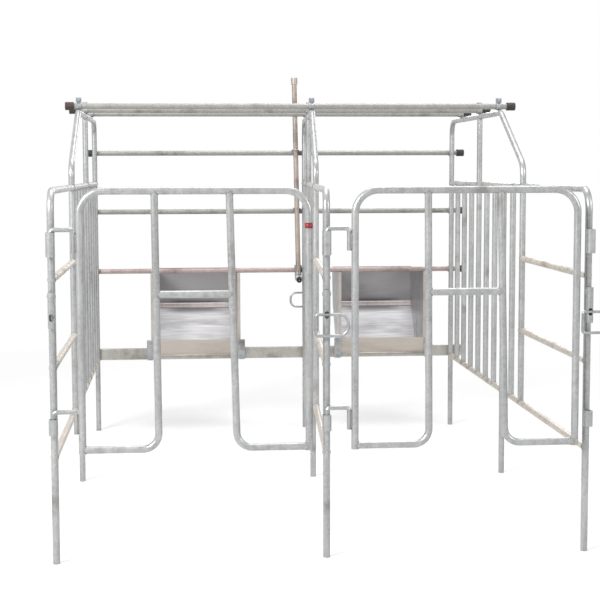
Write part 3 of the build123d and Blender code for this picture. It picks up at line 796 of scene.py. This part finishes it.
turned(elbow, elbow_corner, valve_way, MOUTH_RIM, 28)
turned(elbow, elbow_corner, valve_way, HEXAGON, 6, 0.3)
finish_mesh(elbow, "drinker_elbow", fitting_zinc, "crate", replaces=["drinker_nipple"])
seal = bmesh.new()
turned(seal, elbow_corner, valve_way, SEAL, 28)
finish_mesh(seal, "drinker_seal", nipple_black, "crate")
pin = bmesh.new()
turned(pin, elbow_corner, valve_way, PIN, 20)
finish_mesh(pin, "drinker_pin", fitting_zinc, "crate")

# %% [markdown]
# The latch sleeves are pipe of the posts' own size, welded on with two round lugs. Each has a
# slot in its face, where the ring shows as it crosses, and a hole for the ring through both
# sides. Cut faces could be built point by point, but booleans do it as a mill and a drill
# would. They need closed shapes, so the pipe has both its walls and its two ends.

# %% Pipes and cuts
def pipe_mesh(base, way, outer, inner, length, sides=32):
    """A closed pipe as a bmesh: both walls and the two ring ends, sizes in mm."""
    mesh = bmesh.new()
    across = way.orthogonal().normalized()
    over = way.cross(across)
    profile = ((outer, 0), (outer, length), (inner, length), (inner, 0))
    rings = [add_ring(mesh, base + way * rise / 1000, across, over, radius / 1000, sides)
             for radius, rise in profile]
    for low, high in zip(rings, rings[1:] + rings[:1]):
        join_rings(mesh, low, high)
    bmesh.ops.recalc_face_normals(mesh, faces=mesh.faces)
    return mesh


def as_object(mesh, name):
    """A bmesh as an object in the scene."""
    data = bpy.data.meshes.new(name)
    mesh.to_mesh(data)
    mesh.free()
    return placed(name, data)


def cut(body, cutters):
    """Cut objects, whose own solids may overlap, out of a body and return the mesh left."""
    for cutter in cutters:
        step = body.modifiers.new("cut", "BOOLEAN")
        step.operation, step.solver, step.object = "DIFFERENCE", "EXACT", cutter
        step.use_self = True
    left = bpy.data.meshes.new_from_object(body.evaluated_get(bpy.context.evaluated_depsgraph_get()))
    for thing in [body, *cutters]:
        bpy.data.objects.remove(thing)
    return left


print("latch pipe, outside radius:", TUBE_R, "mm")

# %% [markdown]
# One function makes a latch sleeve, since all four are alike and only the way they face and
# their height differ. The slot is two drilled ends with a web of metal taken out between them,
# which is also how it would be milled.

# %% One latch sleeve
LATCH_BOTTOM, LATCH_LENGTH, LATCH_WALL = 688.0, 104.0, 2.6
RING_Z, RING_HOLE_R, HOLE_RUN = 720.0, 5.0, 40.0
SLOT_R, SLOT_HALF, SLOT_RUN, SLOT_FROM = 6.0, 5.0, 28.0, 30.0


def latch_sleeve(panel, post, side, drop):
    """One drilled and slotted latch sleeve: side is -1 behind a post and 1 on its head side."""
    way = panels[panel][1]
    across = Vector((way.y, -way.x, 0))
    base = on_panel(panel, post + side * 2 * TUBE_R, LATCH_BOTTOM - drop)
    body = as_object(pipe_mesh(base, UP, TUBE_R, TUBE_R - LATCH_WALL, LATCH_LENGTH), "sleeve")
    ring_z = RING_Z - drop
    hole = bmesh.new()
    hole_start = on_panel(panel, post - side * hinge_line, ring_z) - across * HOLE_RUN / 2000
    turned(hole, hole_start, across, [(RING_HOLE_R, 0), (RING_HOLE_R, HOLE_RUN)], 20)
    face = post + side * (TUBE_R + SLOT_FROM)
    ends = bmesh.new()
    for rise in (-SLOT_HALF, SLOT_HALF):
        end = on_panel(panel, face, ring_z + rise)
        turned(ends, end, way * -side, [(SLOT_R, 0), (SLOT_R, SLOT_RUN)], 20)
    web = bmesh.new()
    bmesh.ops.create_cube(web, size=1.0)
    middle = Matrix.Translation(on_panel(panel, face - side * SLOT_RUN / 2, ring_z))
    axes = Matrix((across, way, UP)).transposed().to_4x4()
    size = Matrix.Diagonal((2 * SLOT_R / 1000, SLOT_RUN / 1000, 2 * SLOT_HALF / 1000, 1))
    bmesh.ops.transform(web, matrix=middle @ axes @ size, verts=web.verts)
    return cut(body, [as_object(hole, "hole"), as_object(ends, "slot_ends"), as_object(web, "slot_web")])


print("latch slot in mm:", 2 * SLOT_R, "by", 2 * (SLOT_R + SLOT_HALF))

# %% [markdown]
# The hinge sleeves are plain short pipes, two on each rear post. The centre panel has a second
# latch sleeve on its head post, lower down. With the weld's round lugs, each panel's sleeves
# are one piece that replaces the CAD sleeves of that panel.

# %% All the sleeves
LUG_Z, LUG_R, LUG_SIDE, LUG_OUT = 779.0, 4.2, 9.0, 3.0
LUG_RISES = (-6, -4, -1, 2, 5, 7)
for panel, (_, _, length) in panels.items():
    group = bmesh.new()
    for low, high in HINGE_SPANS:
        start = on_panel(panel, hinge_line, low)
        hinge = bpy.data.meshes.new("hinge_sleeve")
        pipe_mesh(start, UP, SLEEVE_R, SLEEVE_R - SLEEVE_WALL, high - low).to_mesh(hinge)
        group.from_mesh(hinge)
    latches = [(0.0, -1, 0.0)] + ([(length, 1, HEAD_DROP)] if panel == "centre" else [])
    for post, side, drop in latches:
        group.from_mesh(latch_sleeve(panel, post, side, drop))
        for beside in (-LUG_SIDE, LUG_SIDE):
            lug = on_panel(panel, post + side * (TUBE_R + LUG_OUT), LUG_Z - drop, beside)
            heap = [lug + UP * rise / 1000 for rise in LUG_RISES]
            sweep_bead(group, heap, LUG_R, sides=10, lump=0.2, seed=int(beside))
    name = f"{panel}_sleeve_set"
    finish_mesh(group, name, fitting_zinc, "crate", replaces=[f"{panel}_sleeves"], angle=40)

# %% [markdown]
# A fitter wrapped two turns of red tape round the free upright of the left gate, under the
# bend. Tape is a strip with thickness: the second turn lies a little lower than the first
# and its end stands off the tube. A short cylinder would look like a collar, so a strip is
# wound as a shallow helix.

# %% The tape on the left gate
TAPE_Z, TAPE_HALF, TAPE_THICK = 979.0, 7.0, 0.35
TAPE_STEPS, TAPE_TURNS, LOOSE_STEPS = 72, 2.2, 6
TAPE_SWELL, TAPE_LOOSE, TAPE_DROP, TAPE_WAVE = 0.5, 0.9, 2.4, 0.5
tape = bmesh.new()
tape_x = -HALF_WIDTH + HOOK_REACH + GATE_WIDTH
strip = []
for k in range(TAPE_STEPS + 1):
    turn = 2 * math.pi * TAPE_TURNS * k / TAPE_STEPS
    loose = max(0, k - TAPE_STEPS + LOOSE_STEPS) / LOOSE_STEPS
    radius = TUBE_R + TAPE_THICK + TAPE_SWELL * k / TAPE_STEPS + TAPE_LOOSE * loose
    middle_z = TAPE_Z - TAPE_DROP * k / TAPE_STEPS - TAPE_WAVE * math.sin(turn * 0.7)
    corners = [(radius, -TAPE_HALF), (radius, TAPE_HALF),
               (radius + TAPE_THICK, TAPE_HALF), (radius + TAPE_THICK, -TAPE_HALF)]
    rim = (math.cos(turn), math.sin(turn))
    strip.append([tape.verts.new(at(tape_x + rim[0] * r, hinge_line + rim[1] * r, middle_z + lift))
                  for r, lift in corners])
for low, high in zip(strip, strip[1:]):
    join_rings(tape, low, high)
tape.faces.new(strip[0])
tape.faces.new(list(reversed(strip[-1])))
finish_mesh(tape, "red_tape_band", red_tape, "gate_left")

# %% [markdown]
# The floor is a pale sheet that takes a soft shadow near the crate and fades into the white
# of the world farther out, so that no horizon shows. More light would make it white too, but
# it would bleach the zinc. So it is white only to the camera and in reflections, while the
# light that falls on the crate stays at a plain level.

# %% Floor
def seen_directly(material):
    """One where a camera, glossy or transmission ray arrives, and zero for the rest."""
    rays = add(material, "ShaderNodeLightPath")
    seen = rays.outputs["Is Camera Ray"]
    for kind in ("Is Glossy Ray", "Is Transmission Ray"):
        seen = add(material, "ShaderNodeMath", {"operation": "MAXIMUM"},
                   {0: seen, 1: rays.outputs[kind]}).outputs[0]
    return seen


FLOOR_HALF = 30.0
SHADOW_SHARE, FADE_NEAR, FADE_FAR = 0.5, 1.5, 4.5
floor_data = bpy.data.meshes.new("studio_floor")
floor_signs = ((-1, -1), (1, -1), (1, 1), (-1, 1))
floor_data.from_pydata([(FLOOR_HALF * x, FLOOR_HALF * y, 0) for x, y in floor_signs], [], [(0, 1, 2, 3)])
floor = placed("studio_floor", floor_data)
floor_paint = blank("pale_studio_floor")
floor_where = add(floor_paint, "ShaderNodeTexCoord").outputs["Object"]
floor_reach = add(floor_paint, "ShaderNodeVectorMath", {"operation": "LENGTH"}, {0: floor_where})
floor_fade = add(floor_paint, "ShaderNodeMapRange", {"interpolation_type": "SMOOTHSTEP"},
                 {"Value": floor_reach.outputs["Value"], "From Min": FADE_NEAR, "From Max": FADE_FAR,
                  "To Min": 1.0 - SHADOW_SHARE, "To Max": 1.0})
floor_white = add(floor_paint, "ShaderNodeMath", {"operation": "MULTIPLY"},
                  {0: floor_fade.outputs[0], 1: seen_directly(floor_paint)})
floor_face = add(floor_paint, "ShaderNodeBsdfDiffuse", None, {"Color": paint("#FBFBFB")})
floor_glow = add(floor_paint, "ShaderNodeEmission", None, {"Color": (1, 1, 1, 1), "Strength": 1.0})
floor_mix = add(floor_paint, "ShaderNodeMixShader", None,
                {0: floor_white.outputs[0], 1: floor_face.outputs[0], 2: floor_glow.outputs[0]})
add(floor_paint, "ShaderNodeOutputMaterial", None, {"Surface": floor_mix.outputs[0]})
floor_data.materials.append(floor_paint)
print("floor:", 2 * FLOOR_HALF, "m across, white from", FADE_FAR, "m out")

# %% [markdown]
# The world lights the crate softly from all round, and shows as plain white where the camera
# or a reflection looks at it. A backdrop sheet could do the second, but it would stand in the
# way of views from behind.

# %% World
SOFT_LIGHT = 0.28
world = bpy.data.worlds.new("studio")
world.use_nodes = True
world.node_tree.nodes.clear()
bpy.context.scene.world = world
soft = add(world, "ShaderNodeBackground", None, {"Color": paint("#F6F6F4"), "Strength": SOFT_LIGHT})
white = add(world, "ShaderNodeBackground", None, {"Color": (1, 1, 1, 1), "Strength": 1.0})
both = add(world, "ShaderNodeMixShader", None,
           {0: seen_directly(world), 1: soft.outputs[0], 2: white.outputs[0]})
add(world, "ShaderNodeOutputWorld", None, {"Surface": both.outputs[0]})
print("world light:", SOFT_LIGHT)

# %% [markdown]
# Four square lamps stand round the crate as in a studio. With the world alone a round tube
# looks flat: the strong lamp at the front left gives each upright its bright line, the top
# lamp lights the rails, and the other two keep the far sides from going dark.

# %% Lamps
def softbox(name, place, target, size, power):
    """A square area lamp that looks at a target."""
    lamp = bpy.data.lights.new(name, "AREA")
    lamp.shape, lamp.size, lamp.energy = "SQUARE", size, power
    holder = placed(name, lamp)
    holder.location = place
    holder.rotation_euler = (Vector(target) - Vector(place)).to_track_quat("-Z", "Y").to_euler()
    print(name, "watts:", power)


softbox("front_left_lamp", (-3.4, -4.0, 3.2), (0, 0, 0.7), 1.6, 330)
softbox("front_right_lamp", (3.8, -3.0, 2.4), (0, 0, 0.7), 1.6, 70)
softbox("top_lamp", (0.3, 0.4, 4.6), (0, 0, 0.5), 3.0, 130)
softbox("back_lamp", (1.5, 4.6, 2.8), (0, 0, 0.8), 2.0, 60)

# %% [markdown]
# The camera stands where the photographer did, a little left of the middle and four metres
# from the rear posts. It could be set by eye, but its place, turn and focal length were found
# from the posts, rails and bars, whose sizes are known. The picture is square.

# %% Camera
CAMERA_AT = (-408.9, -4056.4, 1134.7)
CAMERA_TURNS = (4.7775, -5.2455, -0.1514)
FOCAL_PX, PICTURE_PX = 1412.70, 600
yaw, pitch, roll = (math.radians(a) for a in CAMERA_TURNS)
ahead = Vector((math.sin(yaw) * math.cos(pitch), math.cos(yaw) * math.cos(pitch), math.sin(pitch)))
level = Vector((math.cos(yaw), -math.sin(yaw), 0))
above = level.cross(ahead)
right_way = level * math.cos(roll) + above * math.sin(roll)
up_way = above * math.cos(roll) - level * math.sin(roll)
camera_data = bpy.data.cameras.new("photo_camera")
camera_data.sensor_width = 36.0
camera_data.lens = camera_data.sensor_width * FOCAL_PX / PICTURE_PX
camera = placed("photo_camera", camera_data)
camera_turn = Matrix((right_way, up_way, -ahead)).transposed().to_4x4()
camera.matrix_world = Matrix.Translation(at(*CAMERA_AT)) @ camera_turn
bpy.context.scene.camera = camera
bpy.context.scene.view_settings.view_transform = "Standard"
print("camera:", camera.location, "lens:", round(camera_data.lens, 2))
